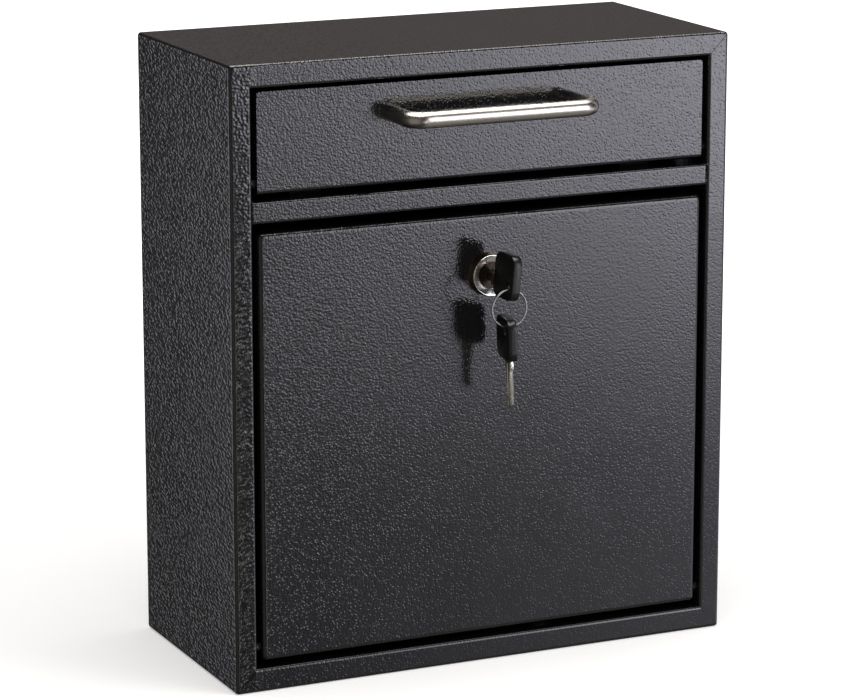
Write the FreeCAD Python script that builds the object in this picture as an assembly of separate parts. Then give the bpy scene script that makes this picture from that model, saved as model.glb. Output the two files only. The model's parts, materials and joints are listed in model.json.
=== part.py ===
import FreeCAD, Part
import math
import os

# Parcel drop box in folded steel sheet. Millimetres, +Z up, the front faces -Y.
# The origin is the middle of the cabinet's bottom face.

V = FreeCAD.Vector
X_AXIS = V(1, 0, 0)
Y_AXIS = V(0, 1, 0)
Z_AXIS = V(0, 0, 1)

# Cabinet
WIDTH = 264.0
DEPTH = 120.0
HEIGHT = 305.0
SHEET = 1.2                 # every folded part is this thick
BEND = 1.8                  # outside radius of the cabinet's bends
LIP_BEND = 1.4              # outside radius where the front flange turns inwards
FLANGE = 11.0               # width of the front frame at both sides
OPENING_BOTTOM = 11.8
OPENING_TOP = 293.7
LIP_DEPTH = 12.0            # how far the front frame's inner edge is turned back
SEAM_WIDTH = 0.3            # mitred joint in the frame's corners
SEAM_DEPTH = 0.25
BACK_FLANGE = 10.0          # turned edge of the back panel
BACK_BEND = 1.0             # its outside radius at the corners
WALL_HOLE_RADIUS = 4.0
WALL_HOLES_X = 180.0        # spacing across
WALL_HOLES_Z = 200.0        # spacing up
WALL_HOLES_CENTRE = 160.0

# Rail between the deposit hopper and the door
RAIL_BOTTOM = 229.4
RAIL_TOP = 239.8
RAIL_DEPTH = 18.0
RAIL_GAP_LEFT = 0.5         # gaps that the weld beads fill
RAIL_GAP_RIGHT = 1.0
WELD_Y = (1.6, 8.0)         # beads' start and end behind the front face
WELD_INSET = 0.8            # left bead's ends, from the rail's edges
WELD_LOWER = (0.6, 3.4)     # lower right bead, above the rail's bottom
WELD_UPPER = (-4.0, -0.4)   # upper right bead, from the rail's top

# Pivots: steel pins in nylon bushes in the frame's turned-back lips
PIN_RADIUS = 2.0
RUNNING_GAP = 0.05
BUSH_RADIUS = 3.0
BUSH_FLANGE_RADIUS = 4.5
BUSH_FLANGE = 0.8
PIN_HEAD_RADIUS = 3.5
PIN_HEAD = 1.6
PIN_END = 125.0             # distance of the pin's end from the middle plane

# Door
PANEL_HALF = 118.0          # half the width of the door and of the hopper's front
DOOR_BOTTOM = 15.3
DOOR_TOP = 224.7
DOOR_DEPTH = 14.0
DOOR_BEND = 2.4
DOOR_PIVOT_Z = 21.3
PIVOT_SETBACK = 6.0         # pivots behind the cabinet's front face
STOP_GAP = 0.5
STOP_BOTTOM = 196.0
STOP_TOP = 212.0
STOP_FRONT = 3.0            # behind the front face
STOP_REACH = 6.0            # past the lip, into the opening

# Deposit hopper
HOPPER_SETBACK = 1.0        # its front sits behind the cabinet's front face
HOPPER_BOTTOM = 243.2
HOPPER_TOP = 291.8
HOPPER_CORNER = 1.5
HOPPER_PIVOT_Z = 248.0
HOPPER_FLANGE_END = -46.0   # rear edge of the front panel's bottom flange
FLOOR_BREAK = -36.0         # where the floor starts to slope down
FLOOR_GAP = 0.5             # between the floor's front edge and the pins' heads
FLOOR_END = 28.0
FLOOR_SLOPE = 22.0          # degrees
CHEEK_RADIUS = 43.5
EAR_RADIUS = 49.0
EAR_START = 53.0            # degrees behind upright
EAR_END = 58.0
BUMPER_HEIGHT = 4.4
BUMPER_LENGTH = 16.0
BUMPER_Y = (-45.2, -42.2)
BUMPER_X = 88.0
BUMPER_ROUND = 0.8

# Handle
HANDLE_Z = 276.6
HANDLE_SPACING = 96.0
HANDLE_REACH = 22.0         # panel face to the axis of the bar
HANDLE_RADIUS = 4.0
HANDLE_BEND = 7.0
SCREW_RADIUS = 2.0
SCREW_HEAD_RADIUS = 4.0
SCREW_HEAD = 2.4
SCREW_HEAD_ROUND = 1.2
SCREW_RECESS = 1.4
SCREW_HOLD = 9.0            # thread length inside the handle
WASHER_RADIUS = 4.5
WASHER = 0.8
CLEARANCE_HOLE = 2.15

# Cam lock
LOCK_X = 1.2
LOCK_Z = 195.3
BARREL_RADIUS = 9.4
BARREL_FLAT = 8.0           # half the width across the barrel's flats
BARREL_END = -41.3
LOCK_HOLE_GAP = 0.1
BEZEL_RADIUS = 10.7
BEZEL_CREST = 10.2
BEZEL_FRONT = -65.2
BEZEL_FOOT = 1.2            # straight part of its flank, next to the door
CREST_ROUND = 0.4
DISH_DEPTH = 1.3            # conical dish, in front of the round well that holds the plug's head
PLUG_FACE = -62.3
PLUG_RADIUS = 5.75
PLUG_HEAD_RADIUS = 6.5
PLUG_HEAD_BACK = -60.6
PLUG_SHOULDER = -40.8
SQUARE = 6.0                # square end that drives the cam
SQUARE_END = -39.4
CAM_THICKNESS = 1.6
CAM_LENGTH = 41.0
CAM_WIDTH = 14.0
CAM_CORNER = 3.0
NUT_ACROSS_FLATS = 24.0
NUT_THICKNESS = 4.0
NUT_CHAMFER = 0.6
LOCK_WASHER = 0.8
LOCK_WASHER_RADIUS = 12.5
CAM_WASHER = 0.8
CAM_WASHER_RADIUS = 5.5
CAM_WASHER_GAP = 0.15
CAM_SCREW_RADIUS = 1.75
CAM_SCREW_TIP = -43.6
CAM_SCREW_HEAD = 2.2
CAM_SCREW_HEAD_RADIUS = 3.6
CAM_SCREW_ROUND = 1.0
CAM_SCREW_RECESS = 1.2

# Keys
BLADE_TIP = -47.6
KEYWAY_END = -47.1
SHOULDER_START = -65.8
HEAD_START = -70.6
HEAD_LENGTH = 20.8
HEAD_THICKNESS = 4.4
HEAD_BELOW = 8.2            # head's edge below the lock's axis
HEAD_ABOVE = 13.8
HEAD_CORNER = 5.0
HEAD_ROUND = 1.0
HOLE_ROUND = 1.2
HOLE_FROM_END = 5.8
HOLE_BELOW = 1.7             # hole's centre below the lock's axis
HOLE_RADIUS = 2.3
BLADE_THICKNESS = 2.0
BLADE_HEIGHT = 5.2
KEYWAY_GAP = 0.1
SHOULDER_HEIGHT = 8.0
TANG_LENGTH = 8.0           # metal inside the moulded head
NOTCHES = (0.9, 1.7, 0.6, 1.3, 0.4)
NOTCH_PITCH = 2.6
FIRST_NOTCH = 2.4           # from the blade's tip
NOTCH_FLAT = 0.8            # length of a notch's bottom; its sides slope at 45 degrees
POINT_LENGTH = 1.2          # bevelled corners of the blade's tip
POINT_HEIGHT = 1.6

# Key ring
RING_RADIUS = 9.05
RING_WIRE = 0.45
RING_ASIDE = -1.0           # where it has come to rest beside the lock's axis
RING_DROP = 12.0            # ring's centre below the lock's axis
SPARE_LIFT = 0.15           # gap between the ring's wire and the spare key's hole
KEY_TURN = 5.0              # degrees from upright at which the plug rests
SPARE_TURN = 10.0           # the spare key hangs a little turned and leaning
SPARE_LEAN = 2.0

PAST = 1.0                  # how far a cutting shape runs past the surface it cuts
TINY = 1e-6

FRONT = -DEPTH / 2
BACK = DEPTH / 2
HALF = WIDTH / 2
LIP_INNER = HALF - FLANGE
PIVOT_Y = FRONT + PIVOT_SETBACK
HOPPER_FACE = FRONT + HOPPER_SETBACK
CAM_BACK = PLUG_SHOULDER + CAM_THICKNESS
RING_Y = HEAD_START - HEAD_LENGTH + HOLE_FROM_END

parts = {}


def box(x, y, z):
    """Block between the pairs of limits x, y and z."""
    return Part.makeBox(x[1] - x[0], y[1] - y[0], z[1] - z[0], V(x[0], y[0], z[0]))


def rod(radius, start, end):
    line = end - start
    return Part.makeCylinder(radius, line.Length, start, line)


def rod_x(radius, x, y, z):
    return rod(radius, V(x[0], y, z), V(x[1], y, z))


def rod_y(radius, y, x, z):
    return rod(radius, V(x, y[0], z), V(x, y[1], z))


def outline_along_x(points, x):
    """Straight-sided outline in the YZ plane, pushed from x[0] to x[1]."""
    corners = [V(x[0], y, z) for y, z in points]
    face = Part.Face(Part.makePolygon(corners + corners[:1]))
    return face.extrude(V(x[1] - x[0], 0, 0))


def edges_along(shape, axis, keep):
    """Straight edges parallel to axis whose middle passes the test keep."""
    found = []
    for edge in shape.Edges:
        if len(edge.Vertexes) != 2:
            continue
        chord = edge.Vertexes[1].Point - edge.Vertexes[0].Point
        straight = abs(chord.Length - edge.Length) < TINY
        parallel = abs(abs(chord.dot(axis)) - chord.Length) < TINY
        if straight and parallel and keep(edge.CenterOfMass):
            found.append(edge)
    return found


def mirrored(shape):
    """The shape and its mirror image across the middle plane X = 0."""
    return Part.makeCompound([shape, shape.mirror(V(0, 0, 0), X_AXIS)])


def rounded_block(x, y, z, radius, front=True):
    """Block with rounded edges along Y and, if front is True, round its front face."""
    block = box(x, y, z)
    edges = edges_along(block, Y_AXIS, lambda c: True)
    if front:
        at_front = lambda c: abs(c.y - y[0]) < TINY
        edges += edges_along(block, X_AXIS, at_front) + edges_along(block, Z_AXIS, at_front)
    return block.makeFillet(radius, edges)


# ---- Cabinet -------------------------------------------------------------

def corner_seams():
    """Thin grooves across the frame's corners, where the folded flanges meet."""
    grooves = []
    for side in (-1, 1):
        for outer_z, inner_z in ((0.0, OPENING_BOTTOM), (HEIGHT, OPENING_TOP)):
            start = V(side * HALF, FRONT, outer_z)
            end = V(side * LIP_INNER, FRONT, inner_z)
            along = end - start
            groove = Part.makeBox(along.Length, 2 * SEAM_DEPTH, SEAM_WIDTH)
            groove.translate(V(0, -SEAM_DEPTH, -SEAM_WIDTH / 2))
            angle = math.degrees(math.atan2(along.z, along.x))
            groove.rotate(V(0, 0, 0), Y_AXIS, -angle)
            groove.translate(start)
            grooves.append(groove)
    return Part.makeCompound(grooves)


def outer_shell():
    outside = rounded_block((-HALF, HALF), (FRONT, BACK), (0, HEIGHT), BEND)
    inside = rounded_block(
        (-HALF + SHEET, HALF - SHEET),
        (FRONT + SHEET, BACK + PAST),
        (SHEET, HEIGHT - SHEET),
        BEND - SHEET,
    )
    lip_back = FRONT + LIP_DEPTH
    lip_outside = box(
        (-LIP_INNER - SHEET, LIP_INNER + SHEET),
        (FRONT + SHEET, lip_back),
        (OPENING_BOTTOM - SHEET, OPENING_TOP + SHEET),
    )
    opening = box(
        (-LIP_INNER, LIP_INNER),
        (FRONT - PAST, lip_back + PAST),
        (OPENING_BOTTOM, OPENING_TOP),
    )
    shell = outside.cut(inside).fuse(lip_outside).cut(opening).removeSplitter()
    in_opening = lambda c: (
        abs(c.y - FRONT) < TINY
        and abs(c.x) < LIP_INNER + 1e-3
        and OPENING_BOTTOM - 1e-3 < c.z < OPENING_TOP + 1e-3
    )
    rim = edges_along(shell, X_AXIS, in_opening) + edges_along(shell, Z_AXIS, in_opening)
    shell = shell.makeFillet(LIP_BEND, rim)
    for bush_z in (DOOR_PIVOT_Z, HOPPER_PIVOT_Z):
        shell = shell.cut(rod_x(BUSH_RADIUS, (-PIN_END, PIN_END), PIVOT_Y, bush_z))
    return shell.cut(corner_seams())


def back_panel():
    """Shallow tray let into the back of the cabinet, with four holes for wall bolts."""
    x_limit = HALF - SHEET
    tray = rounded_block(
        (-x_limit, x_limit),
        (BACK - BACK_FLANGE, BACK),
        (SHEET, HEIGHT - SHEET),
        BACK_BEND,
        front=False,
    )
    pocket = box(
        (-x_limit + SHEET, x_limit - SHEET),
        (BACK - BACK_FLANGE - PAST, BACK - SHEET),
        (2 * SHEET, HEIGHT - 2 * SHEET),
    )
    tray = tray.cut(pocket)
    for x in (-WALL_HOLES_X / 2, WALL_HOLES_X / 2):
        for dz in (-WALL_HOLES_Z / 2, WALL_HOLES_Z / 2):
            hole = rod_y(WALL_HOLE_RADIUS, (BACK - 2 * SHEET, BACK + PAST), x, WALL_HOLES_CENTRE + dz)
            tray = tray.cut(hole)
    return tray


def divider_rail():
    """Channel across the opening, open at the back."""
    x = (-LIP_INNER + RAIL_GAP_LEFT, LIP_INNER - RAIL_GAP_RIGHT)
    back = FRONT + RAIL_DEPTH
    block = box(x, (FRONT, back), (RAIL_BOTTOM, RAIL_TOP))
    bends = edges_along(block, X_AXIS, lambda c: abs(c.y - FRONT) < TINY)
    block = block.makeFillet(LIP_BEND, bends)
    groove = box(
        (x[0] - PAST, x[1] + PAST),
        (FRONT + SHEET, back + PAST),
        (RAIL_BOTTOM + SHEET, RAIL_TOP - SHEET),
    )
    return block.cut(groove)


def rail_welds():
    """Weld beads that fill the gaps between the rail's ends and the frame's lips."""
    left = (-LIP_INNER, -LIP_INNER + RAIL_GAP_LEFT)
    right = (LIP_INNER - RAIL_GAP_RIGHT, LIP_INNER)
    y = (FRONT + WELD_Y[0], FRONT + WELD_Y[1])
    beads = [box(left, y, (RAIL_BOTTOM + WELD_INSET, RAIL_TOP - WELD_INSET))]
    beads.append(box(right, y, (RAIL_BOTTOM + WELD_LOWER[0], RAIL_BOTTOM + WELD_LOWER[1])))
    beads.append(box(right, y, (RAIL_TOP + WELD_UPPER[0], RAIL_TOP + WELD_UPPER[1])))
    return Part.makeCompound(beads)


def door_stops():
    """Angle tabs on the lips' hidden sides that stop the door from going in too far."""
    rear = FRONT + DOOR_DEPTH + STOP_GAP
    lip_side = LIP_INNER + SHEET
    z = (STOP_BOTTOM, STOP_TOP)
    leg = box((lip_side, lip_side + SHEET), (FRONT + STOP_FRONT, rear + SHEET), z)
    tab = box((LIP_INNER - STOP_REACH, lip_side + SHEET), (rear, rear + SHEET), z)
    return mirrored(leg.fuse(tab).removeSplitter())


def bush(z):
    """Flanged bushes pushed into both lips from the hidden side."""
    lip_back = LIP_INNER + SHEET
    body = rod_x(BUSH_RADIUS, (LIP_INNER, lip_back), PIVOT_Y, z)
    flange = rod_x(BUSH_FLANGE_RADIUS, (lip_back, lip_back + BUSH_FLANGE), PIVOT_Y, z)
    bore = rod_x(PIN_RADIUS + RUNNING_GAP, (LIP_INNER - PAST, PIN_END + PAST), PIVOT_Y, z)
    return mirrored(body.fuse(flange).cut(bore).removeSplitter())


def pivot_pins(z):
    """Headed pins fixed in the side flanges, one at each side."""
    inner = PANEL_HALF - SHEET
    head = rod_x(PIN_HEAD_RADIUS, (inner - PIN_HEAD, inner), PIVOT_Y, z)
    shank = rod_x(PIN_RADIUS, (inner, PIN_END), PIVOT_Y, z)
    return mirrored(head.fuse(shank).removeSplitter())


def hopper_bumpers():
    """Rubber pads on the rail that the hopper's floor comes down on."""
    pads = []
    for side in (-1, 1):
        x = (side * BUMPER_X - BUMPER_LENGTH / 2, side * BUMPER_X + BUMPER_LENGTH / 2)
        pad = box(x, BUMPER_Y, (RAIL_TOP, RAIL_TOP + BUMPER_HEIGHT))
        top = edges_along(pad, X_AXIS, lambda c: c.z > RAIL_TOP + 1)
        pads.append(pad.makeFillet(BUMPER_ROUND, top))
    return Part.makeCompound(pads)


# ---- Door and lock -------------------------------------------------------

def at_lock(shape):
    """The lock's pieces are made on the middle plane and then moved sideways to the lock."""
    moved = shape.copy()
    moved.translate(V(LOCK_X, 0, 0))
    return moved


def lock_hole_tool(gap, y):
    """Round bar with two flats: the shape of the lock's barrel, grown by gap."""
    bar = rod_y(BARREL_RADIUS + gap, y, 0, LOCK_Z)
    half = BARREL_FLAT + gap
    return bar.common(box((-half, half), y, (LOCK_Z - 20, LOCK_Z + 20)))


def door_panel():
    back = FRONT + DOOR_DEPTH
    tray = rounded_block((-PANEL_HALF, PANEL_HALF), (FRONT, back), (DOOR_BOTTOM, DOOR_TOP), DOOR_BEND)
    inner = PANEL_HALF - SHEET
    pocket = rounded_block(
        (-inner, inner),
        (FRONT + SHEET, back + PAST),
        (DOOR_BOTTOM + SHEET, DOOR_TOP - SHEET),
        DOOR_BEND - SHEET,
    )
    tray = tray.cut(pocket)
    tray = tray.cut(rod_x(PIN_RADIUS, (-PIN_END, PIN_END), PIVOT_Y, DOOR_PIVOT_Z))
    return tray.cut(at_lock(lock_hole_tool(LOCK_HOLE_GAP, (FRONT - PAST, FRONT + SHEET + PAST))))


def lock_housing():
    """Dished bezel and flatted barrel in one turned piece, bored for the plug."""
    bore = PLUG_HEAD_RADIUS + RUNNING_GAP
    dish_bottom = BEZEL_FRONT + DISH_DEPTH
    profile = [
        (bore, PLUG_HEAD_BACK),
        (bore, dish_bottom),
        (BEZEL_CREST - 2 * CREST_ROUND, BEZEL_FRONT),
        (BEZEL_CREST - CREST_ROUND, BEZEL_FRONT),
        (BEZEL_CREST, BEZEL_FRONT + CREST_ROUND),
        (BEZEL_RADIUS, FRONT - BEZEL_FOOT),
        (BEZEL_RADIUS, FRONT),
        (bore, FRONT),
    ]
    ring = Part.makePolygon([V(r, y, LOCK_Z) for r, y in profile + profile[:1]])
    bezel = Part.Face(ring).revolve(V(0, 0, LOCK_Z), Y_AXIS, 360)
    floor_start = PLUG_HEAD_BACK + 2 * RUNNING_GAP
    well_floor = rod_y((bore + BEZEL_CREST) / 2, (floor_start, FRONT), 0, LOCK_Z)
    barrel = lock_hole_tool(0, (FRONT, BARREL_END))
    body = bezel.fuse(well_floor).fuse(barrel)
    plug_bore = rod_y(PLUG_RADIUS + RUNNING_GAP, (PLUG_HEAD_BACK - PAST, BARREL_END + PAST), 0, LOCK_Z)
    return body.cut(plug_bore).removeSplitter()


def lock_washer():
    start = FRONT + SHEET
    ring = rod_y(LOCK_WASHER_RADIUS, (start, start + LOCK_WASHER), 0, LOCK_Z)
    return ring.cut(lock_hole_tool(0.0, (start - PAST, start + LOCK_WASHER + PAST)))


def lock_nut():
    start = FRONT + SHEET + LOCK_WASHER
    corner = NUT_ACROSS_FLATS / 2 / math.cos(math.radians(30))
    points = []
    for step in range(6):
        angle = math.radians(60 * step)
        points.append(V(corner * math.cos(angle), start, LOCK_Z + corner * math.sin(angle)))
    face = Part.Face(Part.makePolygon(points + points[:1]))
    nut = face.extrude(V(0, NUT_THICKNESS, 0))
    round_off = rod_y(corner - NUT_CHAMFER, (start, start + NUT_THICKNESS), 0, LOCK_Z)
    bore = rod_y(BARREL_RADIUS, (start - PAST, start + NUT_THICKNESS + PAST), 0, LOCK_Z)
    return nut.common(round_off).cut(bore)


def lock_plug():
    head = rod_y(PLUG_HEAD_RADIUS, (PLUG_FACE, PLUG_HEAD_BACK), 0, LOCK_Z)
    body = rod_y(PLUG_RADIUS, (PLUG_HEAD_BACK, PLUG_SHOULDER), 0, LOCK_Z)
    half = SQUARE / 2
    tail = box((-half, half), (PLUG_SHOULDER, SQUARE_END), (LOCK_Z - half, LOCK_Z + half))
    plug = head.fuse(body).fuse(tail)
    slot_x = BLADE_THICKNESS / 2 + KEYWAY_GAP
    slot_z = BLADE_HEIGHT / 2 + KEYWAY_GAP
    keyway = box((-slot_x, slot_x), (PLUG_FACE - PAST, KEYWAY_END), (LOCK_Z - slot_z, LOCK_Z + slot_z))
    thread = rod_y(CAM_SCREW_RADIUS, (CAM_SCREW_TIP, SQUARE_END + PAST), 0, LOCK_Z)
    return plug.cut(keyway).cut(thread).removeSplitter()


def lock_cam():
    """Flat cam pointing to -X, away from the rail, so the door is unlocked."""
    y = (PLUG_SHOULDER, CAM_BACK)
    half = CAM_WIDTH / 2
    arm = box((-CAM_LENGTH, 0), y, (LOCK_Z - half, LOCK_Z + half))
    tip = edges_along(arm, Y_AXIS, lambda c: c.x < -CAM_LENGTH + 1)
    arm = arm.makeFillet(CAM_CORNER, tip).fuse(rod_y(half, y, 0, LOCK_Z))
    side = SQUARE / 2
    hole = box((-side, side), (y[0] - PAST, y[1] + PAST), (LOCK_Z - side, LOCK_Z + side))
    return arm.cut(hole).removeSplitter()


def cam_washer():
    y = (CAM_BACK, CAM_BACK + CAM_WASHER)
    bore = rod_y(CAM_SCREW_RADIUS + CAM_WASHER_GAP, (y[0] - PAST, y[1] + PAST), 0, LOCK_Z)
    return rod_y(CAM_WASHER_RADIUS, y, 0, LOCK_Z).cut(bore)


def crossed_recess(radius, y, depth, x, z):
    """Cross-shaped driver recess in a screw head whose top is at y, facing +Y."""
    arm = 0.45 * radius
    thin = 0.13 * radius
    flat = box((x - arm, x + arm), (y - depth, y + PAST), (z - thin, z + thin))
    upright = box((x - thin, x + thin), (y - depth, y + PAST), (z - arm, z + arm))
    return flat.fuse(upright)


def cam_screw():
    seat = CAM_BACK + CAM_WASHER
    top = seat + CAM_SCREW_HEAD
    head = rod_y(CAM_SCREW_HEAD_RADIUS, (seat, top), 0, LOCK_Z)
    rim = [edge for edge in head.Edges if abs(edge.CenterOfMass.y - top) < TINY]
    head = head.makeFillet(CAM_SCREW_ROUND, rim)
    shank = rod_y(CAM_SCREW_RADIUS, (CAM_SCREW_TIP, seat), 0, LOCK_Z)
    recess = crossed_recess(CAM_SCREW_HEAD_RADIUS, top, CAM_SCREW_RECESS, 0, LOCK_Z)
    return head.fuse(shank).cut(recess)


# ---- Deposit hopper ------------------------------------------------------

def hopper_front():
    """Flat front with a flange bent back along its bottom edge."""
    y = (HOPPER_FACE, HOPPER_FLANGE_END)
    block = box((-PANEL_HALF, PANEL_HALF), y, (HOPPER_BOTTOM, HOPPER_TOP))
    bottom = edges_along(block, X_AXIS, lambda c: c.y < y[0] + TINY and c.z < HOPPER_BOTTOM + TINY)
    block = block.makeFillet(BEND, bottom)
    corners = edges_along(block, Y_AXIS, lambda c: c.z > HOPPER_TOP - TINY)
    block = block.makeFillet(HOPPER_CORNER, corners)
    hollow = box(
        (-PANEL_HALF - PAST, PANEL_HALF + PAST),
        (HOPPER_FACE + SHEET, HOPPER_FLANGE_END + PAST),
        (HOPPER_BOTTOM + SHEET, HOPPER_TOP + PAST),
    )
    inner_bend = edges_along(
        hollow, X_AXIS, lambda c: c.y < HOPPER_FACE + 2 and c.z < HOPPER_BOTTOM + 2
    )
    panel = block.cut(hollow.makeFillet(BEND - SHEET, inner_bend))
    for x in (-HANDLE_SPACING / 2, HANDLE_SPACING / 2):
        y_limits = (HOPPER_FACE - PAST, HOPPER_FACE + SHEET + PAST)
        hole = rod_y(CLEARANCE_HOLE, y_limits, x, HANDLE_Z)
        panel = panel.cut(hole)
    return panel


def floor_drop(y):
    """How far the sloping floor has fallen at depth y."""
    return max(0.0, y - FLOOR_BREAK) * math.tan(math.radians(FLOOR_SLOPE))


def hopper_floor():
    """Chute floor: level over the rail, then sloping down to the back."""
    low = HOPPER_BOTTOM + SHEET
    front = PIVOT_Y + PIN_HEAD_RADIUS + FLOOR_GAP
    points = [
        (front, low),
        (FLOOR_BREAK, low),
        (FLOOR_END, low - floor_drop(FLOOR_END)),
        (FLOOR_END, low - floor_drop(FLOOR_END) + SHEET),
        (FLOOR_BREAK, low + SHEET),
        (front, low + SHEET),
    ]
    inner = PANEL_HALF - SHEET
    return outline_along_x(points, (-inner, inner))


def cheek_point(radius, degrees):
    """Point at an angle behind upright, seen from the pivot."""
    angle = math.radians(degrees)
    return V(
        PANEL_HALF - SHEET,
        PIVOT_Y + radius * math.sin(angle),
        HOPPER_PIVOT_Z + radius * math.cos(angle),
    )


def cheek_arc(radius, start, end):
    middle = cheek_point(radius, (start + end) / 2)
    return Part.Arc(cheek_point(radius, start), middle, cheek_point(radius, end)).toShape()


def hopper_cheek():
    """Right-hand side plate, with the ear that stops the hopper against the top lip."""
    plate_back = HOPPER_FACE + SHEET
    front_angle = math.degrees(math.asin((plate_back - PIVOT_Y) / CHEEK_RADIUS))
    low = HOPPER_BOTTOM + SHEET
    x = PANEL_HALF - SHEET
    rear = cheek_point(CHEEK_RADIUS, EAR_END)
    path = [
        cheek_arc(CHEEK_RADIUS, front_angle, EAR_START),
        Part.makeLine(cheek_point(CHEEK_RADIUS, EAR_START), cheek_point(EAR_RADIUS, EAR_START)),
        cheek_arc(EAR_RADIUS, EAR_START, EAR_END),
        Part.makeLine(cheek_point(EAR_RADIUS, EAR_END), rear),
    ]
    corners = [
        rear,
        V(x, rear.y, low - floor_drop(rear.y)),
        V(x, FLOOR_BREAK, low),
        V(x, plate_back + BEND - SHEET, low),
        V(x, plate_back, low + BEND - SHEET),
        cheek_point(CHEEK_RADIUS, front_angle),
    ]
    for start, end in zip(corners, corners[1:]):
        path.append(Part.makeLine(start, end))
    plate = Part.Face(Part.Wire(path)).extrude(V(SHEET, 0, 0))
    return plate.cut(rod_x(PIN_RADIUS, (x - PAST, x + SHEET + PAST), PIVOT_Y, HOPPER_PIVOT_Z))


def handle():
    """Bent round bar with a threaded hole in each foot."""
    half = HANDLE_SPACING / 2
    bar_y = HOPPER_FACE - HANDLE_REACH
    turn = HANDLE_BEND * (1 - math.cos(math.radians(45)))
    edges = [Part.makeLine(V(-half, HOPPER_FACE, HANDLE_Z), V(-half, bar_y + HANDLE_BEND, HANDLE_Z))]
    edges.append(
        Part.Arc(
            V(-half, bar_y + HANDLE_BEND, HANDLE_Z),
            V(-half + turn, bar_y + turn, HANDLE_Z),
            V(-half + HANDLE_BEND, bar_y, HANDLE_Z),
        ).toShape()
    )
    edges.append(
        Part.makeLine(V(-half + HANDLE_BEND, bar_y, HANDLE_Z), V(half - HANDLE_BEND, bar_y, HANDLE_Z))
    )
    edges.append(
        Part.Arc(
            V(half - HANDLE_BEND, bar_y, HANDLE_Z),
            V(half - turn, bar_y + turn, HANDLE_Z),
            V(half, bar_y + HANDLE_BEND, HANDLE_Z),
        ).toShape()
    )
    edges.append(Part.makeLine(V(half, bar_y + HANDLE_BEND, HANDLE_Z), V(half, HOPPER_FACE, HANDLE_Z)))
    path = Part.Wire(edges)
    circle = Part.Wire(Part.makeCircle(HANDLE_RADIUS, V(-half, HOPPER_FACE, HANDLE_Z), Y_AXIS))
    bow = path.makePipeShell([circle], True, False)
    for x in (-half, half):
        bow = bow.cut(rod_y(SCREW_RADIUS, (HOPPER_FACE - SCREW_HOLD, HOPPER_FACE + PAST), x, HANDLE_Z))
    return bow


def handle_washers():
    start = HOPPER_FACE + SHEET
    ring = rod_y(WASHER_RADIUS, (start, start + WASHER), HANDLE_SPACING / 2, HANDLE_Z)
    bore = rod_y(CLEARANCE_HOLE, (start - PAST, start + WASHER + PAST), HANDLE_SPACING / 2, HANDLE_Z)
    return mirrored(ring.cut(bore))


def handle_screws():
    x = HANDLE_SPACING / 2
    seat = HOPPER_FACE + SHEET + WASHER
    top = seat + SCREW_HEAD
    head = rod_y(SCREW_HEAD_RADIUS, (seat, top), x, HANDLE_Z)
    rim = [edge for edge in head.Edges if abs(edge.CenterOfMass.y - top) < TINY]
    head = head.makeFillet(SCREW_HEAD_ROUND, rim)
    shank = rod_y(SCREW_RADIUS, (HOPPER_FACE - SCREW_HOLD, seat), x, HANDLE_Z)
    screw = head.fuse(shank).cut(crossed_recess(SCREW_HEAD_RADIUS, top, SCREW_RECESS, x, HANDLE_Z))
    return mirrored(screw)


# ---- Keys and ring -------------------------------------------------------

def key_blade():
    """Notched blade, shoulder and the tang inside the head, on the lock's axis."""
    half = BLADE_HEIGHT / 2
    x = BLADE_THICKNESS / 2
    blade = box((-x, x), (SHOULDER_START, BLADE_TIP), (LOCK_Z - half, LOCK_Z + half))
    top = LOCK_Z + half
    over = 0.1
    for number, depth in enumerate(NOTCHES):
        centre = BLADE_TIP - FIRST_NOTCH - number * NOTCH_PITCH
        low = NOTCH_FLAT / 2
        high = low + depth + over
        notch = [
            (centre - high, top + over),
            (centre - low, top - depth),
            (centre + low, top - depth),
            (centre + high, top + over),
        ]
        blade = blade.cut(outline_along_x(notch, (-x - PAST, x + PAST)))
    for sign in (-1, 1):
        corner = [
            (BLADE_TIP + over, LOCK_Z + sign * (half - POINT_HEIGHT)),
            (BLADE_TIP + over, LOCK_Z + sign * (half + over)),
            (BLADE_TIP - POINT_LENGTH, LOCK_Z + sign * (half + over)),
        ]
        blade = blade.cut(outline_along_x(corner, (-x - PAST, x + PAST)))
    tall = SHOULDER_HEIGHT / 2
    shoulder = box((-x, x), (HEAD_START, SHOULDER_START), (LOCK_Z - tall, LOCK_Z + tall))
    tang = box((-x, x), (HEAD_START - TANG_LENGTH, HEAD_START), (LOCK_Z - half, LOCK_Z + half))
    return blade.fuse(shoulder).fuse(tang).removeSplitter()


def key_head():
    """Moulded grip with a round hole for the ring."""
    x = HEAD_THICKNESS / 2
    y = (HEAD_START - HEAD_LENGTH, HEAD_START)
    grip = box((-x, x), y, (LOCK_Z - HEAD_BELOW, LOCK_Z + HEAD_ABOVE))
    grip = grip.makeFillet(HEAD_CORNER, edges_along(grip, X_AXIS, lambda c: True))
    rims = [edge for edge in grip.Edges if abs(abs(edge.CenterOfMass.x) - x) < TINY]
    grip = grip.makeFillet(HEAD_ROUND, rims)
    hole_z = LOCK_Z - HOLE_BELOW
    grip = grip.cut(rod_x(HOLE_RADIUS, (-x - PAST, x + PAST), RING_Y, hole_z))
    hole_centre = V(0, RING_Y, hole_z)
    hole_rims = []
    for edge in grip.Edges:
        is_circle = len(edge.Vertexes) == 1
        if is_circle and (edge.CenterOfMass - hole_centre).Length < x + TINY:
            hole_rims.append(edge)
    grip = grip.makeFillet(HOLE_ROUND, hole_rims)
    half_x = BLADE_THICKNESS / 2
    half_z = BLADE_HEIGHT / 2
    socket = box(
        (-half_x, half_x),
        (HEAD_START - TANG_LENGTH, HEAD_START + PAST),
        (LOCK_Z - half_z, LOCK_Z + half_z),
    )
    return grip.cut(socket)


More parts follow.
